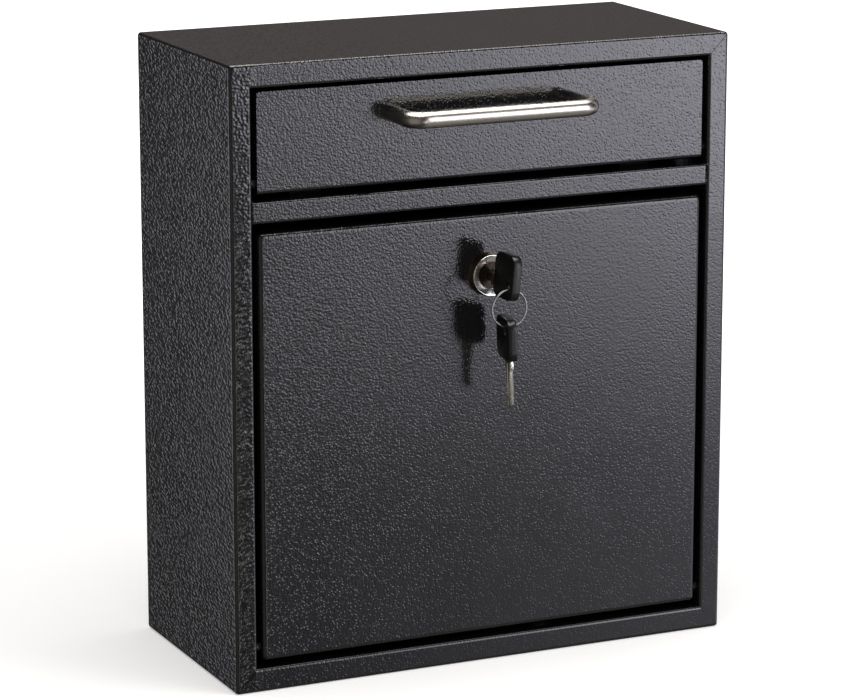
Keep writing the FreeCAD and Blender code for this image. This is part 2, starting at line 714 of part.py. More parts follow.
def key_ring():
    return Part.makeTorus(RING_RADIUS, RING_WIRE, V(RING_ASIDE, RING_Y, LOCK_Z - RING_DROP), Y_AXIS)


def turned_with_plug(shape):
    """A piece made on the lock's axis, turned to the angle at which the plug rests."""
    turned = shape.copy()
    turned.rotate(V(0, 0, LOCK_Z), Y_AXIS, KEY_TURN)
    return at_lock(turned)


def hung_on_ring(shape):
    """Turns a key from the lock's axis to point down, and hangs its hole on the ring."""
    wire = LOCK_Z - RING_DROP - RING_RADIUS
    hole = wire + RING_WIRE + SPARE_LIFT - HOLE_RADIUS
    hung = shape.copy()
    hung.rotate(V(0, RING_Y, LOCK_Z), X_AXIS, -90)
    hung.translate(V(RING_ASIDE, HOLE_BELOW, hole - LOCK_Z))
    hung.rotate(V(RING_ASIDE, RING_Y, wire), Z_AXIS, -SPARE_TURN)
    hung.rotate(V(RING_ASIDE, RING_Y, wire), Y_AXIS, -SPARE_LEAN)
    return at_lock(hung)


def build():
    parts["outer_shell"] = outer_shell()
    parts["back_panel"] = back_panel()
    parts["divider_rail"] = divider_rail()
    parts["rail_welds"] = rail_welds()
    parts["door_stops"] = door_stops()
    parts["hopper_bumpers"] = hopper_bumpers()
    parts["door_bushes"] = bush(DOOR_PIVOT_Z)
    parts["hopper_bushes"] = bush(HOPPER_PIVOT_Z)
    parts["hopper_front"] = hopper_front()
    parts["hopper_floor"] = hopper_floor()
    parts["hopper_right_cheek"] = hopper_cheek()
    parts["hopper_left_cheek"] = parts["hopper_right_cheek"].mirror(V(0, 0, 0), X_AXIS)
    parts["hopper_pivot_pins"] = pivot_pins(HOPPER_PIVOT_Z)
    parts["handle"] = handle()
    parts["handle_washers"] = handle_washers()
    parts["handle_screws"] = handle_screws()
    parts["door_panel"] = door_panel()
    parts["door_hinge_pins"] = pivot_pins(DOOR_PIVOT_Z)
    parts["lock_housing"] = at_lock(lock_housing())
    parts["lock_washer"] = at_lock(lock_washer())
    parts["lock_nut"] = at_lock(lock_nut())
    parts["lock_plug"] = turned_with_plug(lock_plug())
    parts["lock_cam"] = turned_with_plug(lock_cam())
    parts["cam_washer"] = at_lock(cam_washer())
    parts["cam_screw"] = turned_with_plug(cam_screw())
    parts["key_blade"] = turned_with_plug(key_blade())
    parts["key_head"] = turned_with_plug(key_head())
    parts["key_ring"] = at_lock(key_ring())
    parts["spare_key_blade"] = hung_on_ring(key_blade())
    parts["spare_key_head"] = hung_on_ring(key_head())


build()
os.makedirs("parts", exist_ok=True)
for name, shape in parts.items():
    shape.exportStep("parts/" + name + ".step")
    box_of = shape.BoundBox
    print(
        f"{name:20s} solids {len(shape.Solids)} valid {shape.isValid()} volume {shape.Volume:10.1f}"
        f"  x {box_of.XMin:7.1f} {box_of.XMax:7.1f}  y {box_of.YMin:7.1f} {box_of.YMax:7.1f}"
        f"  z {box_of.ZMin:7.1f} {box_of.ZMax:7.1f}"
    )
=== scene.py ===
"""Parcel drop box: looks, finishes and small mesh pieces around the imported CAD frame."""

import json
import math
import random

import bmesh
import bpy
from mathutils import Matrix, Vector

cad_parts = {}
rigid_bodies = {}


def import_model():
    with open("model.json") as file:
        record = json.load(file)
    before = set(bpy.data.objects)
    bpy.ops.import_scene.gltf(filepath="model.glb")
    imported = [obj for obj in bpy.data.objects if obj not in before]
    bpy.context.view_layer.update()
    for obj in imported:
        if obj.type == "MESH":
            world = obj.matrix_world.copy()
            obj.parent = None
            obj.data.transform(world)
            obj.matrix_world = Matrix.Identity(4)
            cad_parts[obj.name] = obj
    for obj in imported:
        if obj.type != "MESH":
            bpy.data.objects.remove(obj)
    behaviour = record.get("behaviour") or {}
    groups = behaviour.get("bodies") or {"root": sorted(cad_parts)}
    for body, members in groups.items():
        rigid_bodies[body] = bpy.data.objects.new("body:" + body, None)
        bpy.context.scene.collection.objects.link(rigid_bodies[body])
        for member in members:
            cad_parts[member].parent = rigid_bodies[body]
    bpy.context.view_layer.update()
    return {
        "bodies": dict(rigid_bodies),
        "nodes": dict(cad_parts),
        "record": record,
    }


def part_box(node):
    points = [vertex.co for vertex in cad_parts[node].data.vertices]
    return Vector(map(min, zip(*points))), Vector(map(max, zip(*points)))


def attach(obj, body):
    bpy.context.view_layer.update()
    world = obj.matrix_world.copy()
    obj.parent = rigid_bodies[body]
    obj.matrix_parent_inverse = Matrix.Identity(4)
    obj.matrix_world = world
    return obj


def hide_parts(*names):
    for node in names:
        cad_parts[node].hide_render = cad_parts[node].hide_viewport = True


MM = 0.001
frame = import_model()

# Paint. Lengths are in millimetres.
PAINT_IOR = 1.56
FRAME_SAG = 0.65    # by which the left flange seems to lean back at its outer edge
FINE_CELL = 1.1     # spacing of the orange peel
COARSE_CELL = 1.5   # the same on the left flange
SIDE_CELL = 1.3     # the same on the left side
FRONT_PLANE = (-58.6, -59.7)    # y from just behind the frame's front to it
LEFT_FLANGE = (-118.0, -122.0)  # x across the flange's inner edge
LEFT_PLANE = (-131.0, -131.8)   # x from just inside the left side to it
TOP_PLANE = (303.5, 304.7)      # z from just under the top to it


# Lock and keys. Lengths are in millimetres, in the CAD's own positions.
LOCK_X = 1.2
LOCK_Z = 195.3
KEY_TURN = 5.0      # degrees by which the key stands off upright
RING_Y = -85.6
HOLE_BELOW = 1.7
HOLE_RADIUS = 2.3
HEAD_NEAR = -70.6
HEAD_FAR = -91.3
HEAD_BELOW = 8.1
HEAD_ABOVE = 13.8
HEAD_HALF = 2.2
HEAD_CORNER = 5.0
BLADE_HALF = 2.6        # half its height
BLADE_THICK = 2.0
BLADE_TIP = -47.6
SHOULDER_END = -65.8
SHOULDER_HALF = 4.0
TANG_END = -78.6
NOTCHES = (0.9, 1.7, 0.6, 1.3, 0.4)
NOTCH_PITCH = 2.6
FIRST_NOTCH = 2.4
BEZEL_FLANK = (10.12, 10.24)    # radius across the rim of the bezel's flank
BEZEL_BACK = (-60.4, -60.1)     # y across the bezel's back


# ---- Node materials --------------------------------------------------------

class Nodes:
    """A node tree, with short methods for its nodes. place holds its coordinates."""

    def __init__(self, tree, coordinates):
        self.tree = tree
        tree.nodes.clear()
        self.place = self.node("TexCoord").outputs[coordinates]

    def node(self, kind):
        return self.tree.nodes.new("ShaderNode" + kind)

    def put(self, socket, value):
        """Links value to a socket, or sets it if it is a plain number or colour."""
        if isinstance(value, bpy.types.NodeSocket):
            self.tree.links.new(value, socket)
        else:
            socket.default_value = value

    def stretched(self, scale, place=None):
        """The place coordinates, scaled differently along each axis."""
        node = self.node("Mapping")
        self.put(node.inputs["Vector"], place or self.place)
        node.inputs["Scale"].default_value = scale
        return node.outputs["Vector"]

    def wobbled(self, scale, amount):
        """The place coordinates, pushed about by a noise of the given scale."""
        noise = self.node("TexNoise")
        self.put(noise.inputs["Vector"], self.place)
        noise.inputs["Scale"].default_value = scale
        noise.inputs["Detail"].default_value = 1.0
        centred = self.vector_math("SUBTRACT", noise.outputs["Color"], (0.5, 0.5, 0.5))
        pushed = self.vector_math("SCALE", centred, None, amount)
        return self.vector_math("ADD", self.place, pushed)

    def vector_math(self, operation, first, second=None, scale=None):
        node = self.node("VectorMath")
        node.operation = operation
        self.put(node.inputs[0], first)
        if second is not None:
            self.put(node.inputs[1], second)
        if scale is not None:
            node.inputs["Scale"].default_value = scale
        return node.outputs["Vector"]

    def scaled(self, vector, factor):
        """A fixed vector or colour, times a factor that is another node's output."""
        result = self.vector_math("SCALE", vector)
        self.put(result.node.inputs["Scale"], factor)
        return result

    def noise(self, scale, detail=2.0, roughness=0.5, place=None):
        node = self.node("TexNoise")
        self.put(node.inputs["Vector"], place or self.place)
        node.inputs["Scale"].default_value = scale
        node.inputs["Detail"].default_value = detail
        node.inputs["Roughness"].default_value = roughness
        return node.outputs["Fac"]

    def cells(self, scale, smoothness, place=None):
        """Smooth Voronoi distance: rounded cells with soft valleys between them."""
        node = self.node("TexVoronoi")
        node.feature = "SMOOTH_F1"
        self.put(node.inputs["Vector"], place or self.place)
        node.inputs["Scale"].default_value = scale
        node.inputs["Smoothness"].default_value = smoothness
        return node.outputs["Distance"]

    def remap(self, value, low, high, new_low, new_high, kind="LINEAR"):
        node = self.node("MapRange")
        node.interpolation_type = kind
        self.put(node.inputs["Value"], value)
        node.inputs["From Min"].default_value = low
        node.inputs["From Max"].default_value = high
        node.inputs["To Min"].default_value = new_low
        node.inputs["To Max"].default_value = new_high
        return node.outputs["Result"]

    def math(self, operation, first, second):
        node = self.node("Math")
        node.operation = operation
        self.put(node.inputs[0], first)
        self.put(node.inputs[1], second)
        return node.outputs["Value"]

    def blend(self, factor, first, second):
        """Colour between first and second."""
        node = self.node("Mix")
        node.data_type = "RGBA"
        self.put(node.inputs["Factor"], factor)
        self.put(node.inputs[6], first)
        self.put(node.inputs[7], second)
        return node.outputs[2]

    def mixed(self, factor, first, second):
        """Number between first and second."""
        node = self.node("Mix")
        self.put(node.inputs[0], factor)
        self.put(node.inputs[2], first)
        self.put(node.inputs[3], second)
        return node.outputs[0]

    def parts(self):
        """The x, y and z of the place coordinates, by their capital letters."""
        node = self.node("SeparateXYZ")
        self.put(node.inputs["Vector"], self.place)
        return node.outputs

    def length(self, vector):
        node = self.node("VectorMath")
        node.operation = "LENGTH"
        self.put(node.inputs[0], vector)
        return node.outputs["Value"]


class Finish(Nodes):
    """A Principled material and its nodes."""

    def __init__(self, name, coordinates="Object"):
        self.material = bpy.data.materials.new(name)
        self.material.use_nodes = True
        super().__init__(self.material.node_tree, coordinates)
        output = self.node("OutputMaterial")
        self.surface = self.node("BsdfPrincipled")
        self.tree.links.new(self.surface.outputs["BSDF"], output.inputs["Surface"])

    def set(self, **values):
        """Sets the surface's inputs by their names, with _ for a space."""
        for name, value in values.items():
            self.put(self.surface.inputs[name.replace("_", " ")], value)

    def bump(self, height, distance, normal=None):
        node = self.node("Bump")
        self.put(node.inputs["Height"], height)
        node.inputs["Distance"].default_value = distance
        if normal is not None:
            self.put(node.inputs["Normal"], normal)
        return node.outputs["Normal"]


def grey(level, warmth=0.0):
    """Linear grey, a little redder than blue where warmth is above 0."""
    return (level * (1 + warmth), level, level * (1 - warmth), 1.0)


def orange_peel(paint, cell_mm, ripple_mm, pit_mm):
    """Height in millimetres: a fine, low ripple with small pits scattered over it."""
    cell = cell_mm * MM
    pushed = paint.wobbled(0.3 / cell, 0.4 * cell)
    cells = paint.cells(0.75 / cell, 0.05, pushed)
    pits = paint.remap(cells, 0.06, 0.42, 0.0, pit_mm, "SMOOTHSTEP")
    ripple = paint.math("MULTIPLY", paint.noise(1.05 / cell, 0.0), ripple_mm)
    return paint.math("ADD", ripple, pits)


def black_paint(paint, height):
    """Glossy black over the given relief, with a faint unevenness in its shade and gloss."""
    normal = paint.bump(height, MM)
    normal = paint.bump(paint.noise(2200.0, 1.0), 0.004 * MM, normal)
    shade = paint.remap(paint.noise(14.0, 3.0), 0.3, 0.7, 0.0, 1.0)
    hazy = paint.remap(paint.noise(60.0, 4.0, 0.6), 0.25, 0.75, 0.08, 0.13)
    colour = paint.blend(shade, grey(0.0035, -0.05), grey(0.006))
    paint.set(Base_Color=colour, Roughness=hazy, Normal=normal, IOR=PAINT_IOR)
    return paint.material


def thinner_low_and_right(paint, height):
    """The relief fades from left to right and from top to bottom, where the paint lies smoother."""
    place = paint.parts()
    fade = paint.remap(place["X"], -110.0 * MM, 20.0 * MM, 1.15, 0.52, "SMOOTHSTEP")
    low = paint.remap(place["Z"], 30.0 * MM, 200.0 * MM, 0.72, 1.0)
    return paint.math("MULTIPLY", paint.math("MULTIPLY", height, fade), low)


def textured_paint():
    """The paint on the folded parts, dried into an orange peel."""
    paint = Finish("textured_paint")
    height = orange_peel(paint, FINE_CELL, 0.055, 0.060)
    return black_paint(paint, thinner_low_and_right(paint, height))


def over_edge(paint, value, edge, before, after):
    """Goes from before to after as value crosses the edge, which is two places in millimetres."""
    return paint.remap(value, edge[0] * MM, edge[1] * MM, before, after)


def flange_lean(paint, place):
    """Height in millimetres that makes the left flange lean back, less so towards its top."""
    sag = paint.remap(place["X"], -137.0 * MM, -120.5 * MM, 0.0, FRAME_SAG, "SMOOTHSTEP")
    return paint.math("MULTIPLY", sag, over_edge(paint, place["Z"], (295.0, 215.0), 0.1, 1.0))


def frame_paint():
    """The paint on the wrap: coarser on its left side and flange, and higher on its top."""
    paint = Finish("frame_paint")
    place = paint.parts()
    paint.place = paint.stretched((1.0, 0.5, 1.0))
    on_front = over_edge(paint, place["Y"], FRONT_PLANE, 0.0, 1.0)
    at_left = over_edge(paint, place["X"], LEFT_FLANGE, 0.0, 1.0)
    on_side = over_edge(paint, place["X"], LEFT_PLANE, 0.0, 1.0)
    on_top = over_edge(paint, place["Z"], TOP_PLANE, 0.9, 2.8)
    fine = thinner_low_and_right(paint, orange_peel(paint, FINE_CELL, 0.052, 0.055))
    fine = paint.math("MULTIPLY", fine, on_top)
    relief = paint.mixed(on_side, fine, orange_peel(paint, SIDE_CELL, 0.12, 0.08))
    on_flange = paint.math("MULTIPLY", on_front, at_left)
    relief = paint.mixed(on_flange, relief, orange_peel(paint, COARSE_CELL, 0.17, 0.04))
    return black_paint(paint, paint.math("ADD", relief, flange_lean(paint, place)))


def weld_paint():
    """The same paint, pooled smooth and thick over a weld bead."""
    paint = Finish("painted_weld")
    lumps = paint.noise(700.0, 3.0)
    paint.set(
        Base_Color=grey(0.005),
        Roughness=paint.remap(lumps, 0.3, 0.7, 0.12, 0.3),
        Normal=paint.bump(lumps, 0.12 * MM),
    )
    return paint.material


def brushed_nickel():
    """Warm satin nickel, brushed along the bar; its UVs run along the bar in metres."""
    metal = Finish("brushed_nickel", "UV")
    dark, light = (0.50, 0.47, 0.42, 1), (0.66, 0.63, 0.57, 1)
    grain = metal.noise(1.0, 3.0, 0.7, metal.stretched((250.0, 9000.0, 1.0)))
    long_grain = metal.noise(1.0, 2.0, 0.6, metal.stretched((40.0, 2500.0, 1.0)))
    streaks = metal.math("MULTIPLY", grain, 0.6)
    streaks = metal.math("ADD", streaks, metal.math("MULTIPLY", long_grain, 0.4))
    smudge = metal.remap(metal.noise(25.0, 3.0), 0.3, 0.7, 0.0, 0.05)
    brushed = metal.remap(streaks, 0.3, 0.7, 0.20, 0.36)
    metal.set(
        Base_Color=metal.blend(metal.remap(streaks, 0.35, 0.65, 0.0, 1.0), dark, light),
        Metallic=1.0,
        Roughness=metal.math("ADD", brushed, smudge),
        Normal=metal.bump(streaks, 0.006 * MM),
    )
    return metal.material


def plated(name, colour, tint, roughness, ripple_mm):
    """Polished plating with faint scratches, and a second tint where it is thin; on the plug both colours
    are painted shade, not plating.
    """
    metal = Finish(name)
    patches = metal.noise(180.0, 3.0)
    scratches = metal.noise(1.0, 4.0, 0.7, metal.stretched((400.0, 5200.0, 900.0)))
    metal.set(
        Base_Color=metal.blend(metal.remap(patches, 0.5, 0.72, 0.0, 0.6), colour, tint),
        Metallic=1.0,
        Roughness=metal.remap(scratches, 0.3, 0.75, roughness, roughness * 2.2),
        Normal=metal.bump(scratches, ripple_mm * MM),
    )
    return metal.material


def lock_metal():
    """Polished chrome on the bezel's face, thin over the brass on its flank and on the barrel."""
    metal = Finish("lock_metal")
    chrome = (0.76, 0.76, 0.75, 1)
    dark_brass, light_brass = (0.30, 0.17, 0.07, 1), (0.52, 0.36, 0.19, 1)
    out = metal.vector_math("SUBTRACT", metal.place, (LOCK_X * MM, 0.0, LOCK_Z * MM))
    radius = metal.length(metal.vector_math("MULTIPLY", out, (1.0, 0.0, 1.0)))
    patches = metal.noise(420.0, 3.0)
    flank = over_edge(metal, radius, BEZEL_FLANK, 0.0, 1.0)
    flank = metal.math("MULTIPLY", flank, metal.remap(patches, 0.3, 0.6, 0.35, 1.0))
    barrel = over_edge(metal, metal.parts()["Y"], BEZEL_BACK, 0.0, 1.0)
    scratches = metal.noise(1.0, 4.0, 0.7, metal.stretched((2600.0, 300.0, 2600.0)))
    brass = metal.blend(patches, dark_brass, light_brass)
    metal.set(
        Base_Color=metal.blend(metal.math("MAXIMUM", flank, barrel), chrome, brass),
        Metallic=1.0,
        Roughness=metal.remap(scratches, 0.3, 0.75, 0.09, 0.24),
        Normal=metal.bump(scratches, 0.003 * MM),
    )
    return metal.material


def zinc_steel():
    """Bright zinc plate: cloudy crystals, and a trace of blue and yellow."""
    metal = Finish("zinc_steel")
    blue, yellow = (0.50, 0.53, 0.58, 1), (0.60, 0.58, 0.50, 1)
    crystals = metal.noise(900.0, 4.0, 0.65)
    cloud = metal.noise(120.0, 3.0)
    metal.set(
        Base_Color=metal.blend(metal.remap(cloud, 0.35, 0.65, 0.0, 1.0), blue, yellow),
        Metallic=1.0,
        Roughness=metal.remap(crystals, 0.3, 0.7, 0.26, 0.46),
        Normal=metal.bump(crystals, 0.006 * MM),
    )
    return metal.material


def moulded_plastic(name, colour, roughness, grain_mm):
    """Moulded plastic with a fine spark-eroded grain and slight handling shine."""
    plastic = Finish(name)
    grain = plastic.noise(6500.0, 2.0, 0.6)
    shine = plastic.noise(140.0, 3.0)
    low = [0.8 * part for part in colour[:3]] + [1.0]
    plastic.set(
        Base_Color=plastic.blend(plastic.remap(grain, 0.3, 0.7, 0.0, 1.0), low, colour),
        Roughness=plastic.remap(shine, 0.3, 0.7, roughness * 0.8, roughness * 1.15),
        Normal=plastic.bump(grain, grain_mm * MM),
    )
    return plastic.material


def rubber():
    """Matt black rubber with a slightly dusty bloom."""
    pad = Finish("rubber")
    grain = pad.noise(2400.0, 4.0, 0.7)
    bloom = pad.noise(220.0, 4.0)
    pad.set(
        Base_Color=pad.blend(pad.remap(bloom, 0.4, 0.75, 0.0, 1.0), grey(0.004), grey(0.010)),
        Specular_IOR_Level=0.2,
        Roughness=pad.remap(grain, 0.3, 0.7, 0.62, 0.85),
        Normal=pad.bump(grain, 0.02 * MM),
    )
    return pad.material


# ---- Mesh helpers ----------------------------------------------------------

def piece_from(name, mesh_maker, body, slot, finish, *nodes):
    """Turns a bmesh into a piece that rides on body and stands for the CAD nodes."""
    mesh = bpy.data.meshes.new(name)
    mesh_maker.normal_update()
    mesh_maker.to_mesh(mesh)
    mesh_maker.free()
    piece = bpy.data.objects.new(name, mesh)
    bpy.context.scene.collection.objects.link(piece)
    piece.data.materials.append(finish)
    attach(piece, body)
    if nodes:
        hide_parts(*nodes)
    return piece


def smooth(piece, angle=35.0):
    """Smooth shading, with edges sharper than angle kept crisp."""
    mesh = piece.data
    for polygon in mesh.polygons:
        polygon.use_smooth = True
    shape = bmesh.new()
    shape.from_mesh(mesh)
    for edge in shape.edges:
        if len(edge.link_faces) == 2:
            edge.smooth = edge.calc_face_angle() < math.radians(angle)
    shape.to_mesh(mesh)
    shape.free()


def bevel(piece, width_mm, segments=3, angle=30.0):
    modifier = piece.modifiers.new("rounded edges", "BEVEL")
    modifier.width = width_mm * MM
    modifier.segments = segments
    modifier.limit_method = "ANGLE"
    modifier.angle_limit = math.radians(angle)
    modifier.harden_normals = True
    for polygon in piece.data.polygons:
        polygon.use_smooth = True


def apply_modifiers(piece):
    """Replaces the piece's mesh with the result of its modifiers."""
    graph = bpy.context.evaluated_depsgraph_get()
    result = bpy.data.meshes.new_from_object(piece.evaluated_get(graph), depsgraph=graph)
    piece.modifiers.clear()
    piece.data = result


def carve(piece, cutters):
    """Cuts the cutters' meshes out of the piece, and removes the cutters."""
    for cutter in cutters:
        modifier = piece.modifiers.new("cut", "BOOLEAN")
        modifier.operation = "DIFFERENCE"
        modifier.solver = "EXACT"
        modifier.object = cutter
    apply_modifiers(piece)
    for cutter in cutters:
        bpy.data.objects.remove(cutter)


def loose(shape, name="cutter"):
    """A plain object from a bmesh, for use as a cutter."""
    mesh = bpy.data.meshes.new(name)
    shape.to_mesh(mesh)
    shape.free()
    cutter = bpy.data.objects.new(name, mesh)
    bpy.context.scene.collection.objects.link(cutter)
    return cutter


def prism(outline, low, high, place):
    """Solid from a closed 2D outline between two heights; place(a, b, h) gives each point."""
    shape = bmesh.new()
    bottom = [shape.verts.new(place(a, b, low)) for a, b in outline]
    top = [shape.verts.new(place(a, b, high)) for a, b in outline]
    shape.faces.new(bottom)
    shape.faces.new(list(reversed(top)))
    count = len(outline)
    for index in range(count):
        after = (index + 1) % count
        shape.faces.new((bottom[after], bottom[index], top[index], top[after]))
    bmesh.ops.recalc_face_normals(shape, faces=shape.faces)
    return shape


def rounded_rectangle(low, high, radius, steps):
    """Corner-rounded outline between two opposite corners."""
    points = []
    corners = (
        (high[0] - radius, high[1] - radius, 0),
        (low[0] + radius, high[1] - radius, 90),
        (low[0] + radius, low[1] + radius, 180),
        (high[0] - radius, low[1] + radius, 270),
    )
    for a, b, start in corners:
        for step in range(steps + 1):
            angle = math.radians(start + 90 * step / steps)
            points.append((a + radius * math.cos(angle), b + radius * math.sin(angle)))
    return points


def circle(centre, radius, steps):
    points = []
    for step in range(steps):
        angle = 2 * math.pi * step / steps
        points.append((centre[0] + radius * math.cos(angle), centre[1] + radius * math.sin(angle)))
    return points


def sweep(points, sides, section):
    """Tube along points that lie in about one plane; its UVs run along it in metres.

    section(angle) gives the offsets away from the bend's centre and out of the plane.
    """
    shape = bmesh.new()
    uv = shape.loops.layers.uv.new("along")
    count = len(points)
    rings = []
    lengths = [0.0]
    for index in range(1, count):
        lengths.append(lengths[-1] + (points[index] - points[index - 1]).length)
    up = Vector((0, 0, 0))
    for index in range(1, count - 1):
        up += (points[index] - points[index - 1]).cross(points[index + 1] - points[index])
    up.normalize()
    for index in range(count):
        before = points[max(index - 1, 0)]
        after = points[min(index + 1, count - 1)]
        along = (after - before).normalized()
        outward = along.cross(up).normalized()
        ring = []
        for side in range(sides):
            out, across = section(2 * math.pi * side / sides)
            ring.append(shape.verts.new(points[index] + outward * out + up * across))
        rings.append(ring)
    girth = 2 * math.pi * max(abs(section(0.0)[0]), 1e-6)
    for index in range(count - 1):
        for side in range(sides):
            after = (side + 1) % sides
            face = shape.faces.new(
                (rings[index][side], rings[index][after], rings[index + 1][after], rings[index + 1][side])
            )
            corners = ((index, side), (index, side + 1), (index + 1, side + 1), (index + 1, side))
            for loop, (row, column) in zip(face.loops, corners):
                loop[uv].uv = (lengths[row], girth * column / sides)
    for ring in (rings[0], rings[-1]):
        cap = shape.faces.new(ring)
        for loop in cap.loops:
            loop[uv].uv = (0.0, 0.0)
    bmesh.ops.recalc_face_normals(shape, faces=shape.faces)
    return shape


# ---- Pieces ----------------------------------------------------------------

def bow_handle(finish):
    """Bent bar: two legs, two quarter bends and the grip."""
    bend = 7.0 * MM
    bend_steps = 14
    grip_steps = 24
    low, high = (Vector(corner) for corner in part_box("handle"))
    radius = (high.z - low.z) / 2
    z = (high.z + low.z) / 2
    reach_y = low.y + radius
    half = high.x - radius
    foot = 4 * MM
    points = [Vector((-half, high.y, z)), Vector((-half, high.y - foot, z))]
    for step in range(bend_steps + 1):
        angle = math.radians(90 * step / bend_steps)
        points.append(
            Vector((-half + bend * (1 - math.cos(angle)), reach_y + bend * (1 - math.sin(angle)), z))
        )
    straight = half - bend
    for step in range(1, grip_steps):
        points.append(Vector((-straight + 2 * straight * step / grip_steps, reach_y, z)))
    for point in reversed(points[: bend_steps + 3]):
        points.append(Vector((-point.x, point.y, point.z)))
    bar = sweep(points, 40, lambda angle: (radius * math.cos(angle), radius * math.sin(angle)))
    piece = piece_from("handle_bar", bar, "hopper", "brushed_nickel", finish, "handle")
    smooth(piece)
    return piece


def split_ring(finish):
    """Double-coiled spring-wire ring with its two ends lying side by side."""
    low, high = (Vector(corner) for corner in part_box("key_ring"))
    centre = (low + high) / 2
    wire = (high.y - low.y) / 2
    radius = (high.x - low.x) / 2 - wire
    turns = 1.92
    steps = 180
    start = math.radians(215)
    offset = 0.62 * wire
    points = []
    for step in range(steps + 1):
        share = step / steps
        angle = start + 2 * math.pi * turns * share
        side = offset * math.tanh(9 * (share - 0.5))
        outwards = Vector((math.cos(angle), 0.0, math.sin(angle))) * radius
        points.append(centre + outwards + Vector((0.0, side, 0.0)))
    coil = sweep(
        points, 14, lambda angle: (0.9 * wire * math.cos(angle), 0.58 * wire * math.sin(angle))
    )
    piece = piece_from("key_ring_coil", coil, "ring", "ring_wire", finish, "key_ring")
    smooth(piece)
    return piece


def bead_row(blob, low, high, wander, radii, place):
    """A row of blobs up the rail's end; place() gives each one's x and y after its radius is drawn."""
    count = 13
    for step in range(count):
        z = low.z + (high.z - low.z) * (step + random.uniform(-wander, wander)) / (count - 1)
        radius = random.uniform(*radii) * MM
        x, y = place()
        blob(x, y, z, radius)


def weld_beads(finish):
    """Lumpy beads at the rail's two ends."""
    random.seed(11)
    low, high = (Vector(corner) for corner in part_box("rail_welds"))
    shape = bmesh.new()

    def blob(x, y, z, radius):
        place = Matrix.Translation((x, y, z)) @ Matrix.Diagonal((1.0, 1.0, 1.15, 1.0))
        bmesh.ops.create_icosphere(shape, subdivisions=3, radius=radius, matrix=place)

    def at_left():
        return low.x + random.uniform(0.15, 0.45) * MM, low.y - 0.75 * MM

    def at_right():
        return high.x - random.uniform(0.2, 0.9) * MM, low.y - random.uniform(0.2, 0.9) * MM

    bead_row(blob, low, high, 0.3, (0.4, 0.62), at_left)
    bead_row(blob, low, high, 0.4, (0.5, 0.8), at_right)
    blob(high.x + 0.5 * MM, low.y - 1.0 * MM, high.z - 0.2 * MM, 0.95 * MM)
    blob(high.x + 0.1 * MM, low.y - 0.8 * MM, low.z + 1.6 * MM, 0.8 * MM)
    piece = piece_from("weld_beads", shape, "cabinet", "painted_weld", finish, "rail_welds")
    remesh = piece.modifiers.new("fused", "REMESH")
    remesh.mode = "VOXEL"
    remesh.voxel_size = 0.13 * MM
    remesh.use_smooth_shade = True
    soften = piece.modifiers.new("soft", "SMOOTH")
    soften.factor = 0.6
    soften.iterations = 4
    apply_modifiers(piece)
    return piece


THREAD_DEPTH = 0.45
THREAD_PITCH = 1.0
THREAD_ROWS = 8         # rows of points in one pitch
BARREL_RADIUS = 9.4
BARREL_START = -59.9
BARREL_END = -41.3
FLAT = 8.0              # from the axis to each of the barrel's two flats
MOUTH = 6.55            # radius of the hole in the bezel
BORE = 5.82             # radius of the hole in the barrel
SHOULDER = -60.5        # y where the one hole meets the other


def lock_outline():
    """Closed outline of the housing as (radius, y), and the first and last index of its thread."""
    outline = [(MOUTH, SHOULDER), (MOUTH, -63.5), (6.62, -63.75), (6.85, -63.92)]
    outline += [(9.35, -65.02), (9.6, -65.15), (9.85, -65.2), (10.05, -65.1), (10.2, -64.85)]
    outline += [(10.22, -64.6), (10.45, -61.6), (10.6, -60.9), (10.7, -60.6), (10.7, -60.0)]
    length = BARREL_END - BARREL_START
    rows = int(length / THREAD_PITCH * THREAD_ROWS)
    first = len(outline)
    outline += [(BARREL_RADIUS, BARREL_START + length * row / rows) for row in range(rows + 1)]
    last = len(outline) - 1
    outline += [(8.9, BARREL_END), (BORE, BARREL_END), (BORE, SHOULDER)]
    return outline, first, last


def lock_barrel(finish):
    """Bezel with a rounded crest and a conical dish, and the threaded barrel with its two flats."""
    outline, first, last = lock_outline()
    steps = 120
    shape = bmesh.new()
    rings = []
    for step in range(steps):
        turn = step / steps
        angle = 2 * math.pi * turn
        ring = []
        for index, (radius, y) in enumerate(outline):
            if first < index < last:
                phase = (y / THREAD_PITCH + turn) % 1.0
                fade = min(1.0, (index - first) / THREAD_ROWS, (last - index) / THREAD_ROWS)
                radius -= THREAD_DEPTH * fade * (1 - abs(2 * phase - 1))
            x = radius * math.cos(angle)
            if first <= index <= last + 1:
                x = max(-FLAT, min(FLAT, x))
            z = radius * math.sin(angle)
            ring.append(shape.verts.new(Vector((LOCK_X + x, y, LOCK_Z + z)) * MM))
        rings.append(ring)
    count = len(outline)
    for step in range(steps):
        here, there = rings[step], rings[(step + 1) % steps]
        for index in range(count):
            after = (index + 1) % count
            shape.faces.new((here[index], here[after], there[after], there[index]))
    bmesh.ops.recalc_face_normals(shape, faces=shape.faces)
    piece = piece_from("lock_bezel_and_barrel", shape, "door", "chrome_plate", finish, "lock_housing")
    smooth(piece, 38.0)
    return piece


def turned_with_plug():
    """Carries a key from upright to where it stands in the plug."""
    pin = Vector((0, 0, LOCK_Z * MM))
    turn = Matrix.Rotation(math.radians(KEY_TURN), 4, "Y")
    sideways = Matrix.Translation((LOCK_X * MM, 0, 0))
    return sideways @ Matrix.Translation(pin) @ turn @ Matrix.Translation(-pin)


